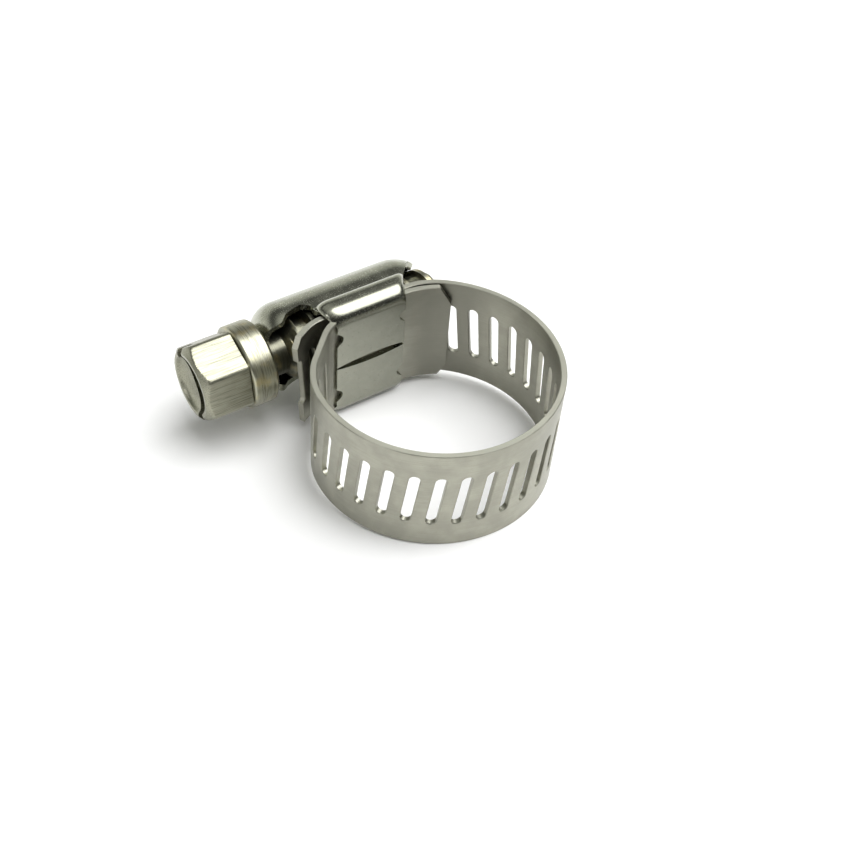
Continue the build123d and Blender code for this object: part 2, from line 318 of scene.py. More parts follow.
def housing_steel(colour):
    """Bright stamped sheet: faint drawing lines along the screw, small scuffs, and painted shade darkening
    the legs below the folds.
    """
    shade = Shade("housing polished steel")
    lines = shade.noise(shade.stretched(0.25, 7.0, 7.0), 1.0, 2.0, 0.55)
    clouds = shade.noise(shade.stretched(1, 1, 1), 0.8, 3.0)
    specks = shade.noise(shade.stretched(1, 1, 1), 7.0, 2.0)
    tone = shade.mix(clouds.above(0.3, 0.75), scaled(colour, 0.88), scaled(colour, 1.1))
    # Painted shade: the legs and the fold's under side, below the bead, are darkened
    leg = 1 - shade.split(shade.stretched(1, 1, 1))[1].above(10.5, 13.0)
    tone = shade.mix(leg * 0.75, tone, scaled(colour, 0.55))
    tone = shade.mix(specks.above(0.64, 0.78) * 0.35, tone, (0.26, 0.20, 0.14))
    roughness = 0.17 + clouds * 0.09 + lines * 0.06 + specks.above(0.6, 0.8) * 0.15
    shade.bump(lines * 0.6 + clouds * 0.8 + specks * 0.25, 0.3, 0.03 * MM)
    return shade.steel(tone, roughness)


def screw_steel(colour, collar):
    """Turned screw: lines round the collar, fine lines along the hex flats, warm tint on both, the hex
    darker than the collar, and painted shadow of the housing over the neck and the worm.
    """
    shade = Shade("screw turned steel")
    along = shade.split(shade.point)[0] / MM
    on_collar = along.above(collar[0] - 0.05, collar[0] + 0.05)
    round_lines = shade.noise(shade.stretched(9.0, 0.5, 0.5), 1.0, 3.0, 0.6)
    flat_lines = shade.noise(shade.stretched(0.3, 9.0, 9.0), 1.0, 3.0, 0.6)
    clouds = shade.noise(shade.stretched(1, 1, 1), 0.7, 3.0)
    lines = round_lines * on_collar + flat_lines * (1 - on_collar)
    tone = shade.mix(clouds.above(0.35, 0.7), scaled(colour, 0.9), scaled(colour, 1.08))
    tone = shade.mix((1 - on_collar) * 0.5, tone, scaled(colour, 0.62))
    tone = shade.mix(lines.above(0.42, 0.66) * 0.75, tone, scaled(colour, 0.4))
    # Painted shadow: the housing's shade over the neck and the worm, up to where the tip comes out, darkens
    # them
    housing_shadow_paint = along.above(collar[1] - 0.05, collar[1] + 0.1) * (1 - along.above(4.0, 6.0))
    tone = shade.mix(housing_shadow_paint * 0.8, tone, scaled(colour, 0.3))
    tone = shade.mix(clouds.above(0.5, 0.75) * on_collar * 0.6, tone, (0.47, 0.39, 0.19))
    roughness = 0.22 + lines * 0.14 + clouds * 0.08
    shade.bump(lines + clouds * 0.4, 0.55, 0.04 * MM)
    return shade.steel(tone, roughness)


# ---------------------------------------------------------------- mesh helpers


def link(name, mesh):
    """New object with a mesh, at the origin."""
    thing = bpy.data.objects.new(name, mesh)
    bpy.context.scene.collection.objects.link(thing)
    return thing


def mesh_from(name, points, faces):
    """Mesh in metres from points in millimetres."""
    mesh = bpy.data.meshes.new(name)
    mesh.from_pydata([Vector(point) * MM for point in points], [], faces)
    mesh.update()
    return mesh


def tidy(mesh, sharp=35.0):
    """Merges doubles, turns faces outwards, shades smooth with sharp edges over an angle."""
    work = bmesh.new()
    work.from_mesh(mesh)
    bmesh.ops.remove_doubles(work, verts=work.verts, dist=0.002 * MM)
    bmesh.ops.dissolve_degenerate(work, edges=work.edges, dist=0.001 * MM)
    bmesh.ops.recalc_face_normals(work, faces=work.faces)
    work.to_mesh(mesh)
    work.free()
    mesh.shade_smooth()
    mesh.set_sharp_from_angle(angle=math.radians(sharp))
    return mesh


def baked(thing):
    """Replaces an object's mesh by its evaluated one and drops its modifiers."""
    graph = bpy.context.evaluated_depsgraph_get()
    result = bpy.data.meshes.new_from_object(thing.evaluated_get(graph), depsgraph=graph)
    thing.modifiers.clear()
    thing.data = result
    return thing


def skin(rows, closed=False):
    """Quads between rows of vertex numbers."""
    faces = []
    for low, high in zip(rows, rows[1:]):
        count = len(low)
        for step in range(count if closed else count - 1):
            after = (step + 1) % count
            faces.append((low[step], low[after], high[after], high[step]))
    return faces


def rounded(corners, radii, step=0.16):
    """Points along a polyline whose corners are rounded, closely spaced all the way."""
    corners = [Vector(corner) for corner in corners]
    anchors = [corners[0]]
    for back, corner, ahead, radius in zip(corners, corners[1:], corners[2:], radii):
        enter, leave = (corner - back).normalized(), (ahead - corner).normalized()
        turn = enter.angle(leave)
        reach = radius * math.tan(turn / 2)
        start, end = corner - enter * reach, corner + leave * reach
        centre = corner + (leave - enter).normalized() * (radius / math.cos(turn / 2))
        count = max(3, math.ceil(radius * turn / step))
        for index in range(count + 1):
            blend = start.lerp(end, index / count) - centre
            spoke = (start - centre).angle(end - centre)
            if spoke > 1e-4:
                first = math.sin((1 - index / count) * spoke) / math.sin(spoke)
                second = math.sin(index / count * spoke) / math.sin(spoke)
                blend = (start - centre) * first + (end - centre) * second
            anchors.append(centre + blend)
    anchors.append(corners[-1])
    line = [anchors[0]]
    for point in anchors[1:]:
        run = (point - line[-1]).length
        pieces = max(1, round(run / (step * 1.6)))
        start = line[-1]
        line.extend(start.lerp(point, index / pieces) for index in range(1, pieces + 1))
    return line


# ---------------------------------------------------------------- band


def heading(angle):
    """Unit vector in the XY plane at an angle in degrees."""
    return Vector((math.cos(math.radians(angle)), math.sin(math.radians(angle)), 0))


class BandPath:
    """Middle line of the strip, seen along the bore: straight runs and left-hand arcs."""

    def __init__(self, start, angle):
        self.at, self.angle, self.moves, self.length = start, angle, [], 0.0

    def line(self, length):
        self.moves.append((self.length, length, self.at, self.angle, 0.0))
        self.at = self.at + heading(self.angle) * length
        self.length += length

    def arc(self, radius, turn):
        length = radius * math.radians(turn)
        self.moves.append((self.length, length, self.at, self.angle, radius))
        centre = self.at + heading(self.angle + 90) * radius
        self.angle += turn
        self.at = centre + heading(self.angle - 90) * radius
        self.length += length

    def point(self, distance):
        """Point at a distance along the path, straight on beyond its ends."""
        for start, length, at, angle, radius in self.moves:
            if distance <= start + length or (start, length) == self.moves[-1][:2]:
                run = distance - start
                if radius == 0.0 or run < 0:
                    return at + heading(angle) * run
                centre = at + heading(angle + 90) * radius
                return centre + heading(angle + math.degrees(run / radius) - 90) * radius


def band_path(ring_mid):
    """The strip's middle line, and the distances along it that matter."""
    slope, bend, head_radius, head_angle = 45.0, 5.7, 8.7, 172.0
    entry_radius, tongue_radius, tongue_turn, tongue_x = 6.7, 9.2, 37.5, 2.4
    centre = heading(head_angle) * (ring_mid - head_radius)
    foot = centre + heading(90 + slope) * head_radius
    rise = FIXED_MID_Y - bend * (1 - math.cos(math.radians(slope))) - foot.y
    ramp_top_x = foot.x + rise / math.tan(math.radians(slope))
    flat_end = ramp_top_x + bend * math.sin(math.radians(slope))
    entry = math.degrees(math.asin((FREE_MID_Y - entry_radius) / (ring_mid - entry_radius)))
    entry_x = (ring_mid - entry_radius) * math.cos(math.radians(entry))
    tip = Vector((tongue_x, FIXED_MID_Y - tongue_radius, 0))
    path = BandPath(tip + heading(90 - tongue_turn) * tongue_radius, 180 - tongue_turn)
    path.arc(tongue_radius, tongue_turn)
    path.line(tongue_x - flat_end)
    path.arc(bend, slope)
    path.line(rise / math.sin(math.radians(slope)))
    path.arc(head_radius, head_angle - 90 - slope)
    marks = {"ring": path.length}
    path.arc(ring_mid, 360 + entry - head_angle)
    marks["entry"] = path.length
    path.arc(entry_radius, 90 - entry)
    marks["first_slot"] = path.length + entry_x - FIRST_SLOT_X
    path.line(entry_x + 6.6)
    path.arc(4.7, 30.0)
    path.line(8.0)
    return path, marks


SIDE_STEPS = 6
END_STEPS = 10
EDGE_BEVEL = 0.07


class Strip:
    """Makes flat lengths of the band: X along it, Y outwards, Z across."""

    def __init__(self, settings):
        self.half = settings.thickness / MM / 2
        self.height = settings.width / MM / 2
        self.pitch = settings.pitch / MM
        self.slot_half = settings.slot_width / MM / 2
        self.slot_reach = settings.slot_length / MM / 2 - self.slot_half
        self.lean = math.tan(settings.slant)

    def placed(self, x, y, z, lean=1.0, middle=0.0):
        """Point of the flat strip, with its slant; z counts from the middle line."""
        return (middle + x + self.lean * lean * z, y, z + self.height)

    def column(self, x, lean=1.0, top=None, bottom=None):
        """Closed loop of points round the strip's section at one distance."""
        top = self.height if top is None else top
        bottom = -self.height if bottom is None else bottom
        low, high = bottom + EDGE_BEVEL, top - EDGE_BEVEL
        levels = [low + (high - low) * step / SIDE_STEPS for step in range(SIDE_STEPS + 1)]
        thin = self.half - EDGE_BEVEL
        loop = [(x, self.half, z) for z in levels] + [(x, thin, top), (x, -thin, top)]
        loop += [(x, -self.half, z) for z in reversed(levels)] + [(x, -thin, bottom), (x, thin, bottom)]
        return [self.placed(a, b, c, lean) for a, b, c in loop]

    def plain(self, columns, caps):
        """Points and faces of an unslotted length, capped at its start and end as asked."""
        points = [point for column in columns for point in column]
        size = len(columns[0])
        rows = [list(range(size * index, size * (index + 1))) for index in range(len(columns))]
        faces = skin(rows, closed=True)
        for wanted, row in zip(caps, (rows[0], rows[-1])):
            if wanted:
                faces += self.cap(row)
        return points, faces

    def cap(self, row):
        """Faces across one section loop."""
        count = SIDE_STEPS + 1
        outer, inner = row[:count], row[count + 2 : 2 * count + 2][::-1]
        faces = skin([outer, inner])
        faces.append((row[count - 1], row[count], row[count + 1], row[count + 2]))
        faces.append((row[0], row[-1], row[-2], row[2 * count + 1]))
        return faces

    def rings(self, whole):
        """Matching points round the slot and round the cell, as (x, z) pairs."""
        high = self.height - EDGE_BEVEL
        half_pitch = self.pitch / 2
        slot, rim = [], []
        for step in range(SIDE_STEPS + 1):
            share = 2 * step / SIDE_STEPS - 1
            slot.append((-1.0, 0.0, share * self.slot_reach))
            rim.append((-half_pitch, share * high))
        for step in range(1, END_STEPS):
            angle = math.pi * (1 - step / END_STEPS)
            slot.append((math.cos(angle), math.sin(angle), self.slot_reach))
            rim.append((half_pitch * (2 * step / END_STEPS - 1), high))
        slot += [(-x, -up, -z) for x, up, z in slot]
        rim += [(-x, -z) for x, z in rim]
        if not whole:
            half_end = END_STEPS // 2
            keep = [len(slot) - half_end + index for index in range(half_end)]
            keep += list(range(SIDE_STEPS + half_end + 1))
            slot, rim = [slot[index] for index in keep], [rim[index] for index in keep]
        return slot, rim

    def cell(self, middle=0.0, whole=True):
        """Points and faces of one slot with its surrounds; half a cell ends on the slot's middle."""
        slot, rim = self.rings(whole)

        def edge(extra):
            wide = self.slot_half + extra
            return [(x * wide, z + up * wide) for x, up, z in slot]

        chamfer = edge(EDGE_BEVEL)
        between = [
            ((a * 0.55 + c * 0.45), (b * 0.55 + d * 0.45)) for (a, b), (c, d) in zip(chamfer, rim)
        ]
        half, thin = self.half, self.half - EDGE_BEVEL
        layers = [(rim, half), (between, half), (chamfer, half), (edge(0), thin), (edge(0), -thin)]
        layers += [(chamfer, -half), (between, -half), (rim, -half)]
        points, rows = [], []
        for ring, y in layers:
            rows.append(list(range(len(points), len(points) + len(ring))))
            points += [self.placed(x, y, z, 1.0, middle) for x, z in ring]
        faces = skin(rows, closed=whole)
        high = self.height - EDGE_BEVEL
        for sign in (1, -1):
            line = [index for index, (_, z) in enumerate(rim) if abs(z - sign * high) < 1e-6]
            line.sort(key=lambda index: rim[index][0])
            strips = [[rows[0][index] for index in line]]
            for y in (thin, -thin):
                strips.append(list(range(len(points), len(points) + len(line))))
                points += [
                    self.placed(rim[index][0], y, sign * self.height, 1.0, middle) for index in line
                ]
            strips.append([rows[-1][index] for index in line])
            faces += skin(strips)
            if not whole:
                corner = [strip[-1] for strip in strips]
                end = -1 if sign > 0 else 0
                inner = [row[end] for row in rows]
                faces.append(tuple(inner[1:-1]) + tuple(reversed(corner)))
        return points, faces


def joined(*parts):
    """Points and faces of several parts in one pair of lists."""
    points, faces = [], []
    for more_points, more_faces in parts:
        base = len(points)
        points += more_points
        faces += [tuple(index + base for index in face) for face in more_faces]
    return points, faces


def bending_tree(material):
    """Node group: a row of slot cells joined to the plain length, all bent along a curve."""
    tree = bpy.data.node_groups.new("slotted strip on a path", "GeometryNodeTree")
    face = tree.interface
    face.new_socket("Geometry", in_out="INPUT", socket_type="NodeSocketGeometry")
    sockets = {}
    for name, kind in (
        ("Cell", "NodeSocketObject"),
        ("Path", "NodeSocketObject"),
        ("First slot", "NodeSocketFloat"),
        ("Spacing", "NodeSocketFloat"),
        ("Slots", "NodeSocketInt"),
    ):
        sockets[name] = face.new_socket(name, in_out="INPUT", socket_type=kind).identifier
    face.new_socket("Geometry", in_out="OUTPUT", socket_type="NodeSocketGeometry")
    nodes, links = tree.nodes, tree.links

    def add(kind, settings=None, **inputs):
        node = nodes.new("GeometryNode" + kind if not kind.startswith("Shader") else kind)
        for key, value in (settings or {}).items():
            setattr(node, key, value)
        for key, value in inputs.items():
            target = node.inputs[key.replace("_", " ")]
            if isinstance(value, bpy.types.NodeSocket):
                links.new(value, target)
            else:
                target.default_value = value
        return node

    entry = nodes.new("NodeGroupInput").outputs
    cell = add("ObjectInfo", Object=entry["Cell"])
    path = add("ObjectInfo", Object=entry["Path"])
    start = add("ShaderNodeCombineXYZ", X=entry["First slot"])
    step = add("ShaderNodeCombineXYZ", X=entry["Spacing"])
    line = add(
        "MeshLine",
        {"mode": "OFFSET"},
        Count=entry["Slots"],
        Start_Location=start.outputs[0],
        Offset=step.outputs[0],
    )
    placed = add("InstanceOnPoints", Points=line.outputs[0], Instance=cell.outputs["Geometry"])
    solid = add("RealizeInstances", Geometry=placed.outputs[0])
    join = add("JoinGeometry")
    links.new(entry["Geometry"], join.inputs[0])
    links.new(solid.outputs[0], join.inputs[0])
    merged = add("MergeByDistance", Geometry=join.outputs[0], Distance=0.002 * MM)
    place = add("InputPosition")
    parts = add("ShaderNodeSeparateXYZ", Vector=place.outputs[0])
    sample = add(
        "SampleCurve",
        {"mode": "LENGTH", "use_all_curves": True},
        Curves=path.outputs["Geometry"],
        Length=parts.outputs[0],
    )
    outward = nodes.new("ShaderNodeVectorMath")
    outward.operation = "CROSS_PRODUCT"
    links.new(sample.outputs["Tangent"], outward.inputs[0])
    outward.inputs[1].default_value = (0, 0, 1)
    shift = nodes.new("ShaderNodeVectorMath")
    shift.operation = "SCALE"
    links.new(outward.outputs[0], shift.inputs[0])
    links.new(parts.outputs[1], shift.inputs["Scale"])
    rise = add("ShaderNodeCombineXYZ", Z=parts.outputs[2])
    total = sample.outputs["Position"]
    for extra in (shift.outputs[0], rise.outputs[0]):
        plus = nodes.new("ShaderNodeVectorMath")
        links.new(total, plus.inputs[0])
        links.new(extra, plus.inputs[1])
        total = plus.outputs[0]
    bent = add("SetPosition", Geometry=merged.outputs[0], Position=total)
    real = add("RealizeInstances", Geometry=bent.outputs[0])
    finish = add("SetMaterial", Geometry=real.outputs[0], Material=material)
    links.new(finish.outputs[0], nodes.new("NodeGroupOutput").inputs[0])
    return tree, sockets


def strip_piece(name, strip, flat, path, slots, tree, sockets):
    """Bends a flat length and its row of slots, and returns the finished object."""
    cell = link("slot cell", mesh_from("slot cell", *strip.cell()))
    curve = bpy.data.curves.new("strip path", "CURVE")
    curve.dimensions = "3D"
    spline = curve.splines.new("POLY")
    count = 1100
    spline.points.add(count - 1)
    for index in range(count):
        spline.points[index].co = (*(path.point(path.length * index / (count - 1)) * MM), 1.0)
    line = bpy.data.objects.new("strip path", curve)
    bpy.context.scene.collection.objects.link(line)
    thing = link(name, mesh_from(name, *flat))
    modifier = thing.modifiers.new("bend", "NODES")
    modifier.node_group = tree
    values = {
        "Cell": cell,
        "Path": line,
        "First slot": slots[0] * MM,
        "Spacing": strip.pitch * MM,
        "Slots": slots[1],
    }
    for key, value in values.items():
        modifier[sockets[key]] = value
    baked(thing)
    for helper in (cell, line):
        bpy.data.objects.remove(helper)
    tidy(thing.data)
    return thing


def clipped(name, part, corner, slope):
    """Cuts a part off past a slanted plane and closes the cut; the part comes back as lists."""
    mesh = mesh_from(name, *part)
    work = bmesh.new()
    work.from_mesh(mesh)
    bmesh.ops.remove_doubles(work, verts=work.verts, dist=0.002 * MM)
    geometry = work.verts[:] + work.edges[:] + work.faces[:]
    before = {edge for edge in work.edges if edge.is_boundary}
    bmesh.ops.bisect_plane(
        work,
        geom=geometry,
        dist=1e-8,
        plane_co=Vector(corner) * MM,
        plane_no=Vector(slope),
        clear_outer=True,
    )
    on_cut = Vector(slope).normalized()

    def cut_through(edge):
        return all(abs((vert.co - Vector(corner) * MM).dot(on_cut)) < 1e-7 for vert in edge.verts)

    rims = [edge for edge in work.edges if edge.is_boundary and edge not in before]
    middle = [edge for edge in rims if cut_through(edge)]
    bmesh.ops.contextual_create(work, geom=middle)
    work.to_mesh(mesh)
    work.free()
    points = [tuple(vertex.co / MM) for vertex in mesh.vertices]
    return points, [tuple(polygon.vertices) for polygon in mesh.polygons]


class HOSECLAMP_OT_band(bpy.types.Operator):
    """Band: tongue and fixed side, loop, entry curve, and the free end with its sheared tail"""

    bl_idname = "hose_clamp.band"
    bl_label = "Band"

    def execute(self, context):
        settings = context.scene.hose_clamp_band
        strip = Strip(settings)
        path, marks = band_path((settings.ring_radius - settings.thickness / 2) / MM)
        material = band_steel(settings.colour)
        tree, sockets = bending_tree(material)
        pitch = strip.pitch
        first = marks["first_slot"]
        ring = first - pitch * math.floor((first - marks["ring"]) / pitch)
        entry = first - pitch * math.ceil((first - marks["entry"]) / pitch)
        begin = ring - pitch * FIXED_SLOTS

        columns = []
        plain_end = begin - pitch / 2
        for index in range(TONGUE_STEPS + 1):
            x = plain_end * (index / TONGUE_STEPS) ** 1.15
            top = min(strip.height, strip.height - 2.2 + 2.2 * x / 1.35)
            bottom = max(-strip.height, -strip.height + 1.5 - 1.5 * x / 0.9)
            lean = min(1.0, x / plain_end) ** 2
            columns.append(strip.column(x, lean, top, bottom))
        tongue = strip.plain(columns, (True, False))
        end_cap = strip.column(ring - pitch / 2)
        fixed_cap = (end_cap, strip.cap(list(range(len(end_cap)))))
        pieces = [
            ("Band_fixed_side", joined(tongue, fixed_cap), (begin, FIXED_SLOTS)),
        ]

        def capped(start, end):
            parts = []
            for x in (start, end):
                loop = strip.column(x)
                parts.append((loop, strip.cap(list(range(len(loop))))))
            return joined(*parts)

        loop_count = round((entry - ring) / pitch) + 1
        loop_end = entry + pitch / 2
        pieces.append(("Band_loop", capped(ring - pitch / 2, loop_end), (ring, loop_count)))
        entry_slots = round((first - entry) / pitch) - 1
        entry_flat = capped(loop_end, first - pitch / 2)
        pieces.append(("Band_entry", entry_flat, (entry + pitch, entry_slots)))

        tail_slot = first + pitch * TAIL_SLOT
        half = strip.cell(tail_slot, whole=False)
        start_loop = strip.column(first - pitch / 2)
        start_cap = (start_loop, strip.cap(list(range(len(start_loop)))))
        half = clipped("tail", half, (tail_slot - 0.25, 0, 2 * strip.height), (1.8, 0, 1.35))
        pieces.append(("Band_free_end", joined(half, start_cap), (first, TAIL_SLOT)))

        for name, flat, slots in pieces:
            thing = strip_piece(name, strip, flat, path, slots, tree, sockets)
            if name == "Band_loop":
                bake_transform(thing)
                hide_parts("band_loop")
            elif name == "Band_free_end":
                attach(thing, "band_free_end")
                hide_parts("band_free_end")
            else:
                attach(thing, "clamp")
                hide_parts("band_fixed_end" if name == "Band_fixed_side" else "band_entry")
        return {"FINISHED"}


# ---------------------------------------------------------------- housing

NOSE_MIDDLE_X, NOSE_CURVE, NOSE_HUB = -8.7, 3.0, 2.25
END_MIDDLE_X, END_CURVE, END_HUB, END_X = 5.2, 5.0, 0.25, 8.8
BODY_X = (-5.5, 3.5)
COVER_EDGE_Y = 14.35
# Lower edge of the cover beyond the body, as x and height over the screw's axis
NOSE_EDGE = (
    (-11.8, -0.3), (-10.9, -0.7), (-10.2, -1.0), (-9.75, -1.05), (-9.35, -0.75),
    (-8.9, -0.35), (-8.2, -0.1), (-7.4, 0.1), (-6.9, 0.15), (-6.5, -0.05), (-6.0, -0.5), (-5.5, -1.0),
)
END_EDGE = ((3.5, -1.0), (4.9, -1.0), (5.5, -0.75), (6.2, 0.0), (7.2, 1.2), (8.0, 2.0), (8.8, 2.2))


def along_table(table, x):
    """Straight-line value from a table of pairs."""
    for (low, first), (high, second) in zip(table, table[1:]):
        if x <= high:
            return first + (second - first) * max(0.0, (x - low) / (high - low))
    return table[-1][1]


def cover_stations(dome):
    """Pairs of x and radius from the nose's lip to the far end."""
    stations = []
    lip = math.degrees(math.asin((2.5 - NOSE_HUB) / NOSE_CURVE))
    for step in range(25):
        angle = math.radians(lip + (90 - lip) * step / 24)
        x = NOSE_MIDDLE_X - NOSE_CURVE * math.cos(angle)
        stations.append((x, NOSE_HUB + NOSE_CURVE * math.sin(angle)))
    front, back = (body_end(COVER_EDGE_Y, side) for side in (-1, 1))
    for step in range(1, 21):
        stations.append((NOSE_MIDDLE_X + (front - 0.02 - NOSE_MIDDLE_X) * step / 20, dome))
    for step in range(37):
        share = 0.5 - 0.5 * math.cos(math.pi * step / 36)
        stations.append((front + (back - front) * share, dome))
    for step in range(1, 25):
        x = END_MIDDLE_X + (END_X - END_MIDDLE_X) * math.sin(math.pi / 2 * step / 24)
        stations.append((x, END_HUB + math.sqrt(END_CURVE**2 - (x - END_MIDDLE_X) ** 2)))
    return stations


def cover_point(x, radius, share):
    """Point of the cover at a share from -1 to 1 of the way down its two sides."""
    body = body_end(COVER_EDGE_Y, -1) - 0.001 <= x <= body_end(COVER_EDGE_Y, 1) + 0.001
    if body:
        straight = AXIS_Y - COVER_EDGE_Y
        run = abs(share) * (math.pi / 2 * radius + straight)
        if run > math.pi / 2 * radius:
            y, out = -(run - math.pi / 2 * radius), radius
        else:
            y, out = radius * math.cos(run / radius), radius * math.sin(run / radius)
    else:
        low = along_table(NOSE_EDGE if x < 0 else END_EDGE, x)
        reach = math.acos(max(-0.99, min(0.99, low / radius))) * abs(share)
        y, out = radius * math.cos(reach), radius * math.sin(reach)
    return (x, AXIS_Y + y, AXIS_Z + math.copysign(out, share))


def leg_section(fold_radius, dome):
    """Outer face of one shoulder, fold and leg as (y, height over the axis), from the cover down."""
    corners = [
        (COVER_EDGE_Y, dome),
        (13.72, dome + 0.08),
        (13.35, 7.4),
        (LEG_Y, 7.28),
        (LEG_Y, 0.0),
    ]
    return rounded(corners, (0.8, 1.6, fold_radius))


NOTCHES = ((4.0, 0.72), (-4.0, 0.72))
# How far the body's ends reach beyond its leg corners, as height over the bore and reach
FRONT_SLANT = ((9.8, 0.2), (10.2, 0.55), (11.2, 1.0), (12.2, 1.15), (13.3, 0.9), (14.35, 0.5))
BACK_SLANT = ((9.8, -0.8), (10.5, -0.5), (11.5, -0.1), (12.5, 0.5), (13.7, 1.3), (14.35, 1.7))


def body_end(y, side):
    """Where the body's sheet ends at a height over the bore."""
    if side < 0:
        return BODY_X[0] - along_table(FRONT_SLANT, y)
    return BODY_X[1] + along_table(BACK_SLANT, y)


def tuck(place, from_front, from_back):
    """How far the bead is rounded in towards the body's two ends."""
    depth = 0.0
    bead = max(0.0, min(1.0, (place.y - 5.3) / 1.5))
    for run, length in ((from_front, 1.5), (from_back, 1.0)):
        if run < length:
            depth = max(depth, 0.75 * (1 - math.sqrt(1 - (1 - max(run, 0.0) / length) ** 2)))
    return depth * bead


def body_edge(height):
    """How far the body's end is cut back at a height over the axis, for its round notches."""
    depth = 0.0
    for middle, radius in NOTCHES:
        reach = radius**2 - (abs(height) - abs(middle)) ** 2
        if reach > 0:
            depth = max(depth, math.sqrt(reach))
    return depth


class HOSECLAMP_OT_housing(bpy.types.Operator):
    """Housing: cover over the worm, shoulders, folds round the band, legs with their seam"""

    bl_idname = "hose_clamp.housing"
    bl_label = "Housing"

    def execute(self, context):
        settings = context.scene.hose_clamp_housing
        dome = settings.dome_radius / MM
        across = 56
        points, rows = [], []
        for x, radius in cover_stations(dome):
            rows.append(list(range(len(points), len(points) + across + 1)))
            for step in range(across + 1):
                points.append(cover_point(x, radius, 2 * step / across - 1 or 1e-9))
        parts = [(points, skin(rows))]
        section = leg_section(settings.fold_radius / MM, dome)
        bow = settings.seam_bow / MM
        columns = 36
        for side in (1, -1):
            points, rows = [], []
            for place in section:
                rows.append(list(range(len(points), len(points) + columns + 1)))
                on_leg = place.x < LEG_Y + 0.02
                cut = body_edge(place.y) if on_leg else 0.0
                start, end = body_end(place.x, -1) + cut, body_end(place.x, 1) - cut
                for step in range(columns + 1):
                    share = 0.5 - 0.5 * math.cos(math.pi * step / columns)
                    x = start + (end - start) * share
                    gap = 0.10 + bow * (1 - (2 * share - 1) ** 2) + 0.06 * share
                    out = place.y - tuck(place, x - start, end - x)
                    if on_leg and out < 3.0:
                        out = gap + (3.0 - gap) * out / 3.0
                    points.append((x, place.x, AXIS_Z + side * out))
            parts.append((points, skin(rows)))
        mesh = mesh_from("Housing", *joined(*parts))
        tidy(mesh)
        thing = link("Housing", mesh)
        centre_face = max(mesh.polygons, key=lambda polygon: polygon.center.y)
        if centre_face.normal.y < 0:
            mesh.flip_normals()
        wall = thing.modifiers.new("sheet", "SOLIDIFY")
        wall.thickness = SHEET * MM
        wall.offset = -1
        wall.use_even_offset = True
        rim = thing.modifiers.new("rim", "BEVEL")
        rim.width = 0.07 * MM
        rim.segments = 2
        rim.limit_method = "ANGLE"
        rim.angle_limit = math.radians(50)
        baked(thing)
        tidy(thing.data, 40.0)
        thing.data.materials.clear()
        thing.data.materials.append(housing_steel(settings.colour))
        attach(thing, "clamp")
        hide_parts("housing")
        return {"FINISHED"}


# ---------------------------------------------------------------- worm screw

# Section of the dished end, as radius and depth
DISH = (
    (0.35, 0.82), (0.9, 0.81), (1.5, 0.77), (2.0, 0.71), (2.45, 0.62),
    (2.8, 0.48), (3.0, 0.34), (3.12, 0.2), (3.2, 0.07), (3.28, 0.01), (3.36, 0.0),
)
HEX_END_X, COLLAR_X, NECK_R = -20.1, (-14.85, -11.95), 2.4
HEX_CORNER_R, HEX_TURN = 4.47, 20.0
DRIVE_SLOT_ANGLE, DRIVE_SLOT_DEPTH = 54.0, 1.6
WORM_X, FULL_WORM_END_X, PILOT_CREST, PILOT_ROOT, TIP_X = -9.6, 3.15, 3.2, 2.6, 10.3
CREST_WIDTH, FLANK = 0.52, 15.0
TIP_CHAMFER_X, TIP_END_R = 9.15, 1.75


def lesser(first, second, blend=0.05):
    """Smaller of two numbers, rounded where they meet."""
    low = min(first, second)
    return low - blend * math.log(math.exp((low - first) / blend) + math.exp((low - second) / blend))


def on_axis(x, radius, angle):
    """Point about the screw's axis; the angle runs from +Y towards +Z."""
    return (x, AXIS_Y + radius * math.cos(angle), AXIS_Z + radius * math.sin(angle))


def head_radius(x, angle, flats, collar):
    """Outer radius of the hex and collar at a place."""
    if x < COLLAR_X[0]:
        spread = math.radians((math.degrees(angle) - HEX_TURN) % 60 - 30)
        side = lesser(flats / 2 / math.cos(spread), HEX_CORNER_R, 0.012)
        end = 3.62 + (x - HEX_END_X) * 1.25
        return lesser(side, end, 0.03)
    lead_in = collar - 0.22 + (x - COLLAR_X[0]) * 1.6
    lead_out = collar - 0.35 + (COLLAR_X[1] - x) * 1.15
    return lesser(collar, lesser(lead_in, lead_out, 0.04), 0.04)


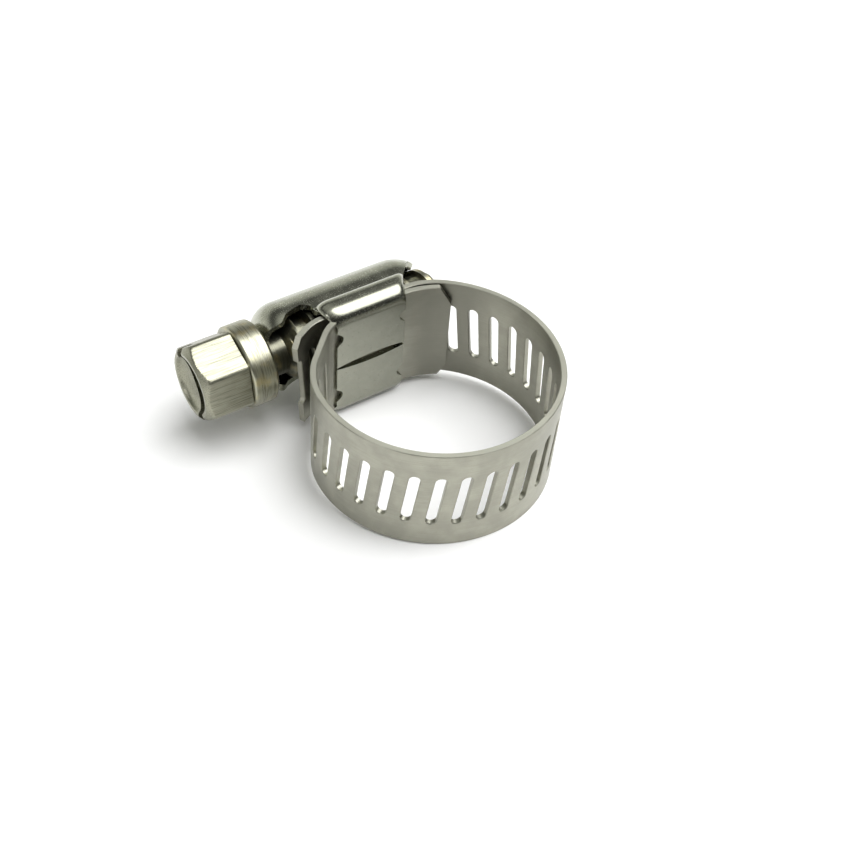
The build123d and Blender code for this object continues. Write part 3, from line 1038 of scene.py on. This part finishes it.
def head_mesh(settings):
    """Hex head, collar and neck as one closed shell with the dished end."""
    flats, collar = settings.hex_flats / MM, settings.collar_radius / MM
    around = 240
    angles = [2 * math.pi * step / around for step in range(around)]
    rings = []
    for radius, depth in DISH:
        rings.append([on_axis(HEX_END_X + depth, radius, angle) for angle in angles])
    rounding = [0.0, 0.03, 0.08, 0.14, 0.21, 0.29, 0.38, 0.48, 0.6, 0.75]
    stations = [HEX_END_X + step for step in rounding + [1.0, 1.6, 2.4, 3.2, 4.0, 4.8]]
    stations += [COLLAR_X[0] - 0.14, COLLAR_X[0] - 0.04]
    stations += [COLLAR_X[0] + step for step in (0.0, 0.03, 0.07, 0.12, 0.18, 0.26, 0.4, 1.0, 1.8)]
    stations += [COLLAR_X[1] - step for step in (0.6, 0.3, 0.2, 0.12, 0.06, 0.02, 0.0)]
    for x in stations:
        groove = 0.16 if COLLAR_X[0] - 0.1 < x < COLLAR_X[0] else 0.0
        rings.append(
            [on_axis(x, head_radius(x, angle, flats, collar) - groove, angle) for angle in angles]
        )
    neck = ((0.0, 3.4), (0.0, 2.7), (0.12, 2.45), (0.4, NECK_R))
    neck = [(COLLAR_X[1] + step, radius) for step, radius in neck] + [(WORM_X + 0.3, NECK_R)]
    for x, radius in neck:
        rings.append([on_axis(x, radius, angle) for angle in angles])
    points = [point for ring in rings for point in ring]
    rows = [list(range(around * index, around * (index + 1))) for index in range(len(rings))]
    faces = skin(rows, closed=True)
    for row, x in ((rows[0], HEX_END_X + 0.822), (rows[-1], WORM_X + 0.3)):
        points.append((x, AXIS_Y, AXIS_Z))
        faces += [(row[step], row[(step + 1) % around], len(points) - 1) for step in range(around)]
    return tidy(mesh_from("head", points, faces))


def cut_drive_slot(thing, width):
    """Cuts the screwdriver slot across the end of the head."""
    work = bmesh.new()
    bmesh.ops.create_cube(work, size=1.0)
    box = Matrix.Translation(Vector((HEX_END_X, AXIS_Y, AXIS_Z)) * MM)
    box = box @ Matrix.Rotation(math.radians(DRIVE_SLOT_ANGLE), 4, "X")
    box = box @ Matrix.Diagonal(Vector((2 * DRIVE_SLOT_DEPTH * MM, 12 * MM, width, 1)))
    bmesh.ops.transform(work, matrix=box, verts=work.verts)
    mesh = bpy.data.meshes.new("drive slot")
    work.to_mesh(mesh)
    work.free()
    cutter = link("drive slot", mesh)
    cut = thing.modifiers.new("slot", "BOOLEAN")
    cut.operation = "DIFFERENCE"
    cut.solver = "EXACT"
    cut.object = cutter
    rim = thing.modifiers.new("rim", "BEVEL")
    rim.width = 0.06 * MM
    rim.segments = 2
    rim.limit_method = "ANGLE"
    rim.angle_limit = math.radians(60)
    baked(thing)
    bpy.data.objects.remove(cutter)


def worm_mesh(settings):
    """Worm as a helical grid whose lines follow the ridge, tapering out at both ends."""
    crest, root = settings.crest_radius / MM, settings.root_radius / MM
    pitch = 2.5
    flank = math.tan(math.radians(FLANK))
    around = 96
    half_crest = CREST_WIDTH / 2
    foot = half_crest + (crest - root) * flank
    offsets = [half_crest * share for share in (-1.0, -0.9, 0.0, 0.9, 1.0)]
    offsets += [(half_crest + foot) / 2, foot, foot + 0.12]
    gap = pitch - 2 * foot - 0.24
    offsets += [foot + 0.12 + gap * share for share in (0.25, 0.5, 0.75, 1.0)]
    offsets += [pitch - foot, pitch - (half_crest + foot) / 2]

    def profile(offset, high, low):
        away = min(abs(offset), abs(pitch - offset))
        return max(low, min(high, high - (away - half_crest) / flank))

    def envelope(x, high):
        if x < TIP_CHAMFER_X:
            return min(NECK_R + max(0.0, x - WORM_X) * 1.6, high)
        return min(3.15, TIP_END_R + (TIP_X - x) * 1.4)

    turns = math.ceil((TIP_X - WORM_X) / pitch) + 2
    ridge = FIRST_SLOT_X - pitch * (math.ceil((FIRST_SLOT_X - WORM_X) / pitch) + 1)
    points, rows = [], []
    for turn in range(turns + 1):
        for offset in offsets:
            row = []
            for step in range(around + 1):
                angle = math.pi + 2 * math.pi * step / around
                x = ridge + turn * pitch + offset + pitch * step / around
                x = max(WORM_X, min(TIP_X, x))
                late = max(0.0, min(1.0, (x - FULL_WORM_END_X) / 0.6))
                high = crest + (PILOT_CREST - crest) * late
                low = root + (PILOT_ROOT - root) * late
                radius = min(profile(offset, high, low), envelope(x, high))
                row.append(len(points))
                points.append(on_axis(x, radius, angle))
            rows.append(row)
    faces = skin(rows)
    base = len(points)
    for x, radius in ((WORM_X, NECK_R), (TIP_X, TIP_END_R)):
        ring = [on_axis(x, radius, math.pi + 2 * math.pi * step / around) for step in range(around)]
        points += ring + [(x, AXIS_Y, AXIS_Z)]
        rim = list(range(base, base + around))
        faces += [(rim[step], rim[(step + 1) % around], base + around) for step in range(around)]
        base = len(points)
    return tidy(mesh_from("worm", points, faces), 28.0)


class HOSECLAMP_OT_screw(bpy.types.Operator):
    """Worm screw: slotted hex head, collar, neck and worm"""

    bl_idname = "hose_clamp.screw"
    bl_label = "Worm screw"

    def execute(self, context):
        settings = context.scene.hose_clamp_screw
        material = screw_steel(settings.colour, COLLAR_X)
        head = link("Screw_head", head_mesh(settings))
        cut_drive_slot(head, settings.drive_slot_width)
        tidy(head.data, 32.0)
        worm = link("Screw_worm", worm_mesh(settings))
        for thing in (head, worm):
            thing.data.materials.clear()
            thing.data.materials.append(material)
            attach(thing, "worm_screw")
        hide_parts("worm_screw")
        return {"FINISHED"}


# ---------------------------------------------------------------- stage


FLOOR_REACH = 3000.0
KEY_SPREAD, KEY_DIRECTION = 62, (130, -55, 280)
CAMERA_LENS = 52.376
CAMERA_PLACE = (-55.563, -71.554, 96.726)
CAMERA_RIGHT, CAMERA_UP = (0.82934, -0.5555, 0.06017), (0.36498, 0.62012, 0.69444)


def area_light(name, place, aim, size, power):
    """Square soft light aimed at a point; all in millimetres but the power."""
    light = bpy.data.lights.new(name, "AREA")
    light.size = size * MM
    light.energy = power
    lamp = bpy.data.objects.new(name, light)
    bpy.context.scene.collection.objects.link(lamp)
    lamp.location = Vector(place) * MM
    lamp.rotation_euler = (Vector(aim) - Vector(place)).to_track_quat("-Z", "Y").to_euler()
    return lamp


class HOSECLAMP_OT_stage(bpy.types.Operator):
    """Stage: pale floor, soft studio light and the camera"""

    bl_idname = "hose_clamp.stage"
    bl_label = "Stage"

    def execute(self, context):
        settings = context.scene.hose_clamp_stage
        scene = context.scene
        scene.view_settings.view_transform = "Standard"
        far = FLOOR_REACH
        square = ((-far, -far), (far, -far), (far, far), (-far, far))
        corners = [(x, y, -(y + 13.0) / 24.0 - 0.02) for x, y in square]
        floor = link("Floor", mesh_from("Floor", corners, [(0, 1, 2, 3)]))
        paint = bpy.data.materials.new("floor paper")
        paint.use_nodes = True
        bsdf = paint.node_tree.nodes["Principled BSDF"]
        bsdf.inputs["Base Color"].default_value = (*settings.floor_colour, 1)
        bsdf.inputs["Roughness"].default_value = 0.9
        floor.data.materials.append(paint)

        world = bpy.data.worlds.new("studio")
        world.use_nodes = True
        nodes, links = world.node_tree.nodes, world.node_tree.links
        coordinates = nodes.new("ShaderNodeTexCoord")
        parts = nodes.new("ShaderNodeSeparateXYZ")
        links.new(coordinates.outputs["Generated"], parts.inputs[0])
        behind = nodes.new("ShaderNodeMapRange")
        behind.interpolation_type = "SMOOTHSTEP"
        behind.inputs["From Max"].default_value = 0.6
        links.new(parts.outputs[1], behind.inputs[0])
        blend = nodes.new("ShaderNodeMix")
        blend.data_type = "RGBA"
        links.new(behind.outputs[0], blend.inputs[0])
        front_wall = ((0.0, 0.14), (0.25, 0.03), (0.62, 0.05), (0.8, 0.4), (1.0, 0.8))
        back_wall = ((0.0, 0.85), (0.34, 0.7), (0.5, 0.06), (0.66, 0.05), (0.8, 0.4), (1.0, 0.8))
        for wall, target in ((front_wall, 6), (back_wall, 7)):
            ramp = nodes.new("ShaderNodeValToRGB")
            links.new(parts.outputs[2], ramp.inputs[0])
            stops = ramp.color_ramp.elements
            stops[0].position, stops[1].position = wall[0][0], wall[-1][0]
            for place, _ in wall[1:-1]:
                stops.new(place)
            for stop, (_, grey) in zip(stops, wall):
                stop.color = (grey * 0.98, grey, grey * 0.93, 1)
            links.new(ramp.outputs[0], blend.inputs[target])
        links.new(blend.outputs[2], nodes["Background"].inputs[0])
        nodes["Background"].inputs[1].default_value = 1.0
        scene.world = world

        centre = (-3, 3, 5)
        key = bpy.data.lights.new("Key", "SUN")
        key.energy = settings.key_power
        key.angle = math.radians(KEY_SPREAD)
        lamp = bpy.data.objects.new("Key", key)
        scene.collection.objects.link(lamp)
        lamp.rotation_euler = Vector(KEY_DIRECTION).to_track_quat("Z", "Y").to_euler()
        area_light("Fill", (-260, -40, 150), centre, 90, settings.key_power * 0.03)

        camera = bpy.data.cameras.new("Camera")
        camera.lens = CAMERA_LENS
        camera.sensor_width = 36.0
        camera.clip_start = 0.005
        eye = bpy.data.objects.new("Camera", camera)
        scene.collection.objects.link(eye)
        right, up = Vector(CAMERA_RIGHT), Vector(CAMERA_UP)
        turn = Matrix((right, up, right.cross(up))).transposed().to_4x4()
        eye.matrix_world = Matrix.Translation(Vector(CAMERA_PLACE) * MM) @ turn
        scene.camera = eye
        return {"FINISHED"}


class HOSECLAMP_PT_panel(bpy.types.Panel):
    """Sidebar panel with the clamp's settings"""

    bl_label = "Hose clamp"
    bl_idname = "HOSECLAMP_PT_panel"
    bl_space_type = "VIEW_3D"
    bl_region_type = "UI"
    bl_category = "Hose clamp"

    def draw(self, context):
        for operator, group in STEPS:
            box = self.layout.box()
            box.operator(operator.bl_idname)
            settings = getattr(context.scene, group)
            for key in settings.bl_rna.properties.keys():
                if key not in ("rna_type", "name"):
                    box.prop(settings, key)


GROUPS = {
    "hose_clamp_band": BandSettings,
    "hose_clamp_housing": HousingSettings,
    "hose_clamp_screw": ScrewSettings,
    "hose_clamp_stage": StageSettings,
}
STEPS = (
    (HOSECLAMP_OT_band, "hose_clamp_band"),
    (HOSECLAMP_OT_housing, "hose_clamp_housing"),
    (HOSECLAMP_OT_screw, "hose_clamp_screw"),
    (HOSECLAMP_OT_stage, "hose_clamp_stage"),
)
CLASSES = (*GROUPS.values(), *(step[0] for step in STEPS), HOSECLAMP_PT_panel)


def register():
    for item in CLASSES:
        bpy.utils.register_class(item)
    for name, group in GROUPS.items():
        setattr(bpy.types.Scene, name, PointerProperty(type=group))


def unregister():
    for name in GROUPS:
        delattr(bpy.types.Scene, name)
    for item in reversed(CLASSES):
        bpy.utils.unregister_class(item)


def main():
    """Builds the clamp and its stage."""
    register()
    for call in (
        bpy.ops.hose_clamp.band,
        bpy.ops.hose_clamp.housing,
        bpy.ops.hose_clamp.screw,
        bpy.ops.hose_clamp.stage,
    ):
        call()


if __name__ == "__main__":
    main()
